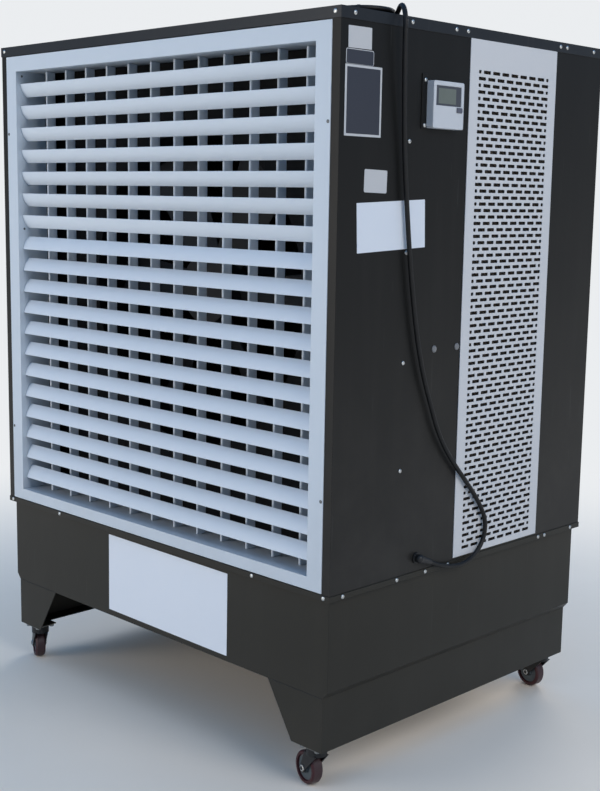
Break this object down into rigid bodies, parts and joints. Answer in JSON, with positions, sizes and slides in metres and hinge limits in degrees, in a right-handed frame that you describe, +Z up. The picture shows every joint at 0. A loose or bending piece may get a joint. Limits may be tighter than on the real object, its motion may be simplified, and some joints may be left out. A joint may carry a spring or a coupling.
{
  "type": "evaporative cooler",
  "caption": "Mobile evaporative cooler: dark sheet-metal cabinet with a white louvred outlet, perforated inlets, water tank base, casters, wall controller and mains lead.",
  "frame": {"origin": "on the floor, under the middle of the cabinet", "axes": "+Z up, -Y the way the air blows out, +X towards the controller's side"},
  "size_m": [1.1904, 0.894, 1.6002],
  "materials": {
    "dark_sheet": "satin charcoal powder coat",
    "dark_tank": "satin charcoal",
    "white_sheet": "satin white powder coat",
    "white_blade": "satin white powder coat on extruded aluminium",
    "zinc": "bright zinc plate",
    "motor_iron": "grey enamel",
    "black_steel": "black paint",
    "wheel_tread": "burgundy tread on a grey hub",
    "white_plastic": "fine-textured white plastic",
    "screen": "grey-green display glass",
    "grey_plastic": "smooth grey plastic",
    "cord_rubber": "black rubber sheath",
    "black_plastic": "black moulded plastic",
    "pad_cellulose": "corrugated cellulose"
  },
  "bodies": {
    "cooler": {"roof_panel": "dark_sheet", "corner_panels": "dark_sheet", "inlet_panels": "white_sheet", "grille_frame": "white_sheet", "water_tank": "dark_tank", "leg_skirts": "dark_sheet", "caster_plates": "zinc", "controller_case": "white_plastic", "controller_screen": "screen", "power_cord": "cord_rubber", "cord_coil": "cord_rubber", "mains_plug": "cord_rubber", "cord_gland": "black_plastic", "panel_screws": "zinc", "fan_motor": "motor_iron", "fan_shroud": "dark_sheet", "cooling_pads": "pad_cellulose", "water_pump": "black_plastic", "water_manifold": "grey_plastic"},
    "upper_blade_1": {"upper_blade_1": "white_blade"},
    "upper_blade_2": {"upper_blade_2": "white_blade"},
    "upper_blade_3": {"upper_blade_3": "white_blade"},
    "upper_blade_4": {"upper_blade_4": "white_blade"},
    "upper_blade_5": {"upper_blade_5": "white_blade"},
    "upper_blade_6": {"upper_blade_6": "white_blade"},
    "upper_blade_7": {"upper_blade_7": "white_blade"},
    "lower_blade_1": {"lower_blade_1": "white_blade"},
    "lower_blade_2": {"lower_blade_2": "white_blade"},
    "lower_blade_3": {"lower_blade_3": "white_blade"},
    "lower_blade_4": {"lower_blade_4": "white_blade"},
    "lower_blade_5": {"lower_blade_5": "white_blade"},
    "lower_blade_6": {"lower_blade_6": "white_blade"},
    "lower_blade_7": {"lower_blade_7": "white_blade"},
    "lower_blade_8": {"lower_blade_8": "white_blade"},
    "lower_blade_9": {"lower_blade_9": "white_blade"},
    "lower_blade_10": {"lower_blade_10": "white_blade"},
    "lower_blade_11": {"lower_blade_11": "white_blade"},
    "lower_blade_12": {"lower_blade_12": "white_blade"},
    "vane_1": {"vane_1": "white_blade"},
    "vane_2": {"vane_2": "white_blade"},
    "vane_3": {"vane_3": "white_blade"},
    "vane_4": {"vane_4": "white_blade"},
    "vane_5": {"vane_5": "white_blade"},
    "vane_6": {"vane_6": "white_blade"},
    "vane_7": {"vane_7": "white_blade"},
    "vane_8": {"vane_8": "white_blade"},
    "vane_9": {"vane_9": "white_blade"},
    "vane_10": {"vane_10": "white_blade"},
    "vane_11": {"vane_11": "white_blade"},
    "vane_12": {"vane_12": "white_blade"},
    "fan": {"fan_impeller": "black_plastic"},
    "caster_fork_front_left": {"caster_fork_front_left": "black_steel"},
    "caster_wheel_front_left": {"caster_wheel_front_left": "wheel_tread"},
    "caster_fork_front_right": {"caster_fork_front_right": "black_steel"},
    "caster_wheel_front_right": {"caster_wheel_front_right": "wheel_tread"},
    "caster_fork_rear_left": {"caster_fork_rear_left": "black_steel"},
    "caster_wheel_rear_left": {"caster_wheel_rear_left": "wheel_tread"},
    "caster_fork_rear_right": {"caster_fork_rear_right": "black_steel"},
    "caster_wheel_rear_right": {"caster_wheel_rear_right": "wheel_tread"},
    "button": {"controller_button": "grey_plastic"}
  },
  "joints": [
    {"name": "upper_blade_1_tilt", "type": "hinge", "parent": "cooler", "child": "upper_blade_1", "pos_m": [0, -0.424, 1.462], "axis": [1, 0, 0], "range_deg": [-10, 130]},
    {"name": "upper_blade_2_tilt", "type": "hinge", "parent": "cooler", "child": "upper_blade_2", "pos_m": [0, -0.424, 1.40906], "axis": [1, 0, 0], "range_deg": [-10, 130]},
    {"name": "upper_blade_3_tilt", "type": "hinge", "parent": "cooler", "child": "upper_blade_3", "pos_m": [0, -0.424, 1.35611], "axis": [1, 0, 0], "range_deg": [-10, 130]},
    {"name": "upper_blade_4_tilt", "type": "hinge", "parent": "cooler", "child": "upper_blade_4", "pos_m": [0, -0.424, 1.30317], "axis": [1, 0, 0], "range_deg": [-10, 130]},
    {"name": "upper_blade_5_tilt", "type": "hinge", "parent": "cooler", "child": "upper_blade_5", "pos_m": [0, -0.424, 1.25022], "axis": [1, 0, 0], "range_deg": [-10, 130]},
    {"name": "upper_blade_6_tilt", "type": "hinge", "parent": "cooler", "child": "upper_blade_6", "pos_m": [0, -0.424, 1.19728], "axis": [1, 0, 0], "range_deg": [-10, 130]},
    {"name": "upper_blade_7_tilt", "type": "hinge", "parent": "cooler", "child": "upper_blade_7", "pos_m": [0, -0.424, 1.14433], "axis": [1, 0, 0], "range_deg": [-10, 130]},
    {"name": "lower_blade_1_tilt", "type": "hinge", "parent": "cooler", "child": "lower_blade_1", "pos_m": [0, -0.424, 1.09139], "axis": [1, 0, 0], "range_deg": [-130, 10]},
    {"name": "lower_blade_2_tilt", "type": "hinge", "parent": "cooler", "child": "lower_blade_2", "pos_m": [0, -0.424, 1.03844], "axis": [1, 0, 0], "range_deg": [-130, 10]},
    {"name": "lower_blade_3_tilt", "type": "hinge", "parent": "cooler", "child": "lower_blade_3", "pos_m": [0, -0.424, 0.9855], "axis": [1, 0, 0], "range_deg": [-130, 10]},
    {"name": "lower_blade_4_tilt", "type": "hinge", "parent": "cooler", "child": "lower_blade_4", "pos_m": [0, -0.424, 0.93256], "axis": [1, 0, 0], "range_deg": [-130, 10]},
    {"name": "lower_blade_5_tilt", "type": "hinge", "parent": "cooler", "child": "lower_blade_5", "pos_m": [0, -0.424, 0.87961], "axis": [1, 0, 0], "range_deg": [-130, 10]},
    {"name": "lower_blade_6_tilt", "type": "hinge", "parent": "cooler", "child": "lower_blade_6", "pos_m": [0, -0.424, 0.82667], "axis": [1, 0, 0], "range_deg": [-130, 10]},
    {"name": "lower_blade_7_tilt", "type": "hinge", "parent": "cooler", "child": "lower_blade_7", "pos_m": [0, -0.424, 0.77372], "axis": [1, 0, 0], "range_deg": [-130, 10]},
    {"name": "lower_blade_8_tilt", "type": "hinge", "parent": "cooler", "child": "lower_blade_8", "pos_m": [0, -0.424, 0.72078], "axis": [1, 0, 0], "range_deg": [-130, 10]},
    {"name": "lower_blade_9_tilt", "type": "hinge", "parent": "cooler", "child": "lower_blade_9", "pos_m": [0, -0.424, 0.66783], "axis": [1, 0, 0], "range_deg": [-130, 10]},
    {"name": "lower_blade_10_tilt", "type": "hinge", "parent": "cooler", "child": "lower_blade_10", "pos_m": [0, -0.424, 0.61489], "axis": [1, 0, 0], "range_deg": [-130, 10]},
    {"name": "lower_blade_11_tilt", "type": "hinge", "parent": "cooler", "child": "lower_blade_11", "pos_m": [0, -0.424, 0.56194], "axis": [1, 0, 0], "range_deg": [-130, 10]},
    {"name": "lower_blade_12_tilt", "type": "hinge", "parent": "cooler", "child": "lower_blade_12", "pos_m": [0, -0.424, 0.509], "axis": [1, 0, 0], "range_deg": [-130, 10]},
    {"name": "vane_1_swing", "type": "hinge", "parent": "cooler", "child": "vane_1", "pos_m": [-0.446, -0.389, 0.9855], "axis": [0, 0, 1], "range_deg": [-40, 40]},
    {"name": "vane_2_swing", "type": "hinge", "parent": "cooler", "child": "vane_2", "pos_m": [-0.36491, -0.389, 0.9855], "axis": [0, 0, 1], "range_deg": [-40, 40]},
    {"name": "vane_3_swing", "type": "hinge", "parent": "cooler", "child": "vane_3", "pos_m": [-0.28382, -0.389, 0.9855], "axis": [0, 0, 1], "range_deg": [-40, 40]},
    {"name": "vane_4_swing", "type": "hinge", "parent": "cooler", "child": "vane_4", "pos_m": [-0.20273, -0.389, 0.9855], "axis": [0, 0, 1], "range_deg": [-40, 40]},
    {"name": "vane_5_swing", "type": "hinge", "parent": "cooler", "child": "vane_5", "pos_m": [-0.12164, -0.389, 0.9855], "axis": [0, 0, 1], "range_deg": [-40, 40]},
    {"name": "vane_6_swing", "type": "hinge", "parent": "cooler", "child": "vane_6", "pos_m": [-0.04054, -0.389, 0.9855], "axis": [0, 0, 1], "range_deg": [-40, 40]},
    {"name": "vane_7_swing", "type": "hinge", "parent": "cooler", "child": "vane_7", "pos_m": [0.04054, -0.389, 0.9855], "axis": [0, 0, 1], "range_deg": [-40, 40]},
    {"name": "vane_8_swing", "type": "hinge", "parent": "cooler", "child": "vane_8", "pos_m": [0.12164, -0.389, 0.9855], "axis": [0, 0, 1], "range_deg": [-40, 40]},
    {"name": "vane_9_swing", "type": "hinge", "parent": "cooler", "child": "vane_9", "pos_m": [0.20273, -0.389, 0.9855], "axis": [0, 0, 1], "range_deg": [-40, 40]},
    {"name": "vane_10_swing", "type": "hinge", "parent": "cooler", "child": "vane_10", "pos_m": [0.28382, -0.389, 0.9855], "axis": [0, 0, 1], "range_deg": [-40, 40]},
    {"name": "vane_11_swing", "type": "hinge", "parent": "cooler", "child": "vane_11", "pos_m": [0.36491, -0.389, 0.9855], "axis": [0, 0, 1], "range_deg": [-40, 40]},
    {"name": "vane_12_swing", "type": "hinge", "parent": "cooler", "child": "vane_12", "pos_m": [0.446, -0.389, 0.9855], "axis": [0, 0, 1], "range_deg": [-40, 40]},
    {"name": "fan_spin", "type": "hinge", "parent": "cooler", "child": "fan", "pos_m": [0, -0.24, 1.001], "axis": [0, 1, 0], "continuous": true},
    {"name": "front_left_caster_swivel", "type": "hinge", "parent": "cooler", "child": "caster_fork_front_left", "pos_m": [-0.508, -0.4025, 0.082], "axis": [0, 0, 1], "continuous": true},
    {"name": "front_left_wheel_roll", "type": "hinge", "parent": "caster_fork_front_left", "child": "caster_wheel_front_left", "pos_m": [-0.53338, -0.39067, 0.036], "axis": [0.4226, 0.9063, 0], "continuous": true},
    {"name": "front_right_caster_swivel", "type": "hinge", "parent": "cooler", "child": "caster_fork_front_right", "pos_m": [0.508, -0.4025, 0.082], "axis": [0, 0, 1], "continuous": true},
    {"name": "front_right_wheel_roll", "type": "hinge", "parent": "caster_fork_front_right", "child": "caster_wheel_front_right", "pos_m": [0.48072, -0.3962, 0.036], "axis": [0.225, 0.9744, 0], "continuous": true},
    {"name": "rear_left_caster_swivel", "type": "hinge", "parent": "cooler", "child": "caster_fork_rear_left", "pos_m": [-0.508, 0.4025, 0.082], "axis": [0, 0, 1], "continuous": true},
    {"name": "rear_left_wheel_roll", "type": "hinge", "parent": "caster_fork_rear_left", "child": "caster_wheel_rear_left", "pos_m": [-0.53431, 0.41208, 0.036], "axis": [0.342, 0.9397, 0], "continuous": true},
    {"name": "rear_right_caster_swivel", "type": "hinge", "parent": "cooler", "child": "caster_fork_rear_right", "pos_m": [0.508, 0.4025, 0.082], "axis": [0, 0, 1], "continuous": true},
    {"name": "rear_right_wheel_roll", "type": "hinge", "parent": "caster_fork_rear_right", "child": "caster_wheel_rear_right", "pos_m": [0.48027, 0.4064, 0.036], "axis": [0.1392, 0.9903, 0], "continuous": true},
    {"name": "button_press", "type": "slide", "parent": "cooler", "child": "button", "axis": [-1, 0, 0], "range_m": [0, 0.0015], "stiffness_N_per_m": 300}
  ],
  "couplings": [
    {"joint": "upper_blade_2_tilt", "follows": "upper_blade_1_tilt", "ratio": 1},
    {"joint": "upper_blade_3_tilt", "follows": "upper_blade_1_tilt", "ratio": 1},
    {"joint": "upper_blade_4_tilt", "follows": "upper_blade_1_tilt", "ratio": 1},
    {"joint": "upper_blade_5_tilt", "follows": "upper_blade_1_tilt", "ratio": 1},
    {"joint": "upper_blade_6_tilt", "follows": "upper_blade_1_tilt", "ratio": 1},
    {"joint": "upper_blade_7_tilt", "follows": "upper_blade_1_tilt", "ratio": 1},
    {"joint": "lower_blade_2_tilt", "follows": "lower_blade_1_tilt", "ratio": 1},
    {"joint": "lower_blade_3_tilt", "follows": "lower_blade_1_tilt", "ratio": 1},
    {"joint": "lower_blade_4_tilt", "follows": "lower_blade_1_tilt", "ratio": 1},
    {"joint": "lower_blade_5_tilt", "follows": "lower_blade_1_tilt", "ratio": 1},
    {"joint": "lower_blade_6_tilt", "follows": "lower_blade_1_tilt", "ratio": 1},
    {"joint": "lower_blade_7_tilt", "follows": "lower_blade_1_tilt", "ratio": 1},
    {"joint": "lower_blade_8_tilt", "follows": "lower_blade_1_tilt", "ratio": 1},
    {"joint": "lower_blade_9_tilt", "follows": "lower_blade_1_tilt", "ratio": 1},
    {"joint": "lower_blade_10_tilt", "follows": "lower_blade_1_tilt", "ratio": 1},
    {"joint": "lower_blade_11_tilt", "follows": "lower_blade_1_tilt", "ratio": 1},
    {"joint": "lower_blade_12_tilt", "follows": "lower_blade_1_tilt", "ratio": 1},
    {"joint": "vane_2_swing", "follows": "vane_1_swing", "ratio": 1},
    {"joint": "vane_3_swing", "follows": "vane_1_swing", "ratio": 1},
    {"joint": "vane_4_swing", "follows": "vane_1_swing", "ratio": 1},
    {"joint": "vane_5_swing", "follows": "vane_1_swing", "ratio": 1},
    {"joint": "vane_6_swing", "follows": "vane_1_swing", "ratio": 1},
    {"joint": "vane_7_swing", "follows": "vane_1_swing", "ratio": 1},
    {"joint": "vane_8_swing", "follows": "vane_1_swing", "ratio": 1},
    {"joint": "vane_9_swing", "follows": "vane_1_swing", "ratio": 1},
    {"joint": "vane_10_swing", "follows": "vane_1_swing", "ratio": 1},
    {"joint": "vane_11_swing", "follows": "vane_1_swing", "ratio": 1},
    {"joint": "vane_12_swing", "follows": "vane_1_swing", "ratio": 1}
  ]
}
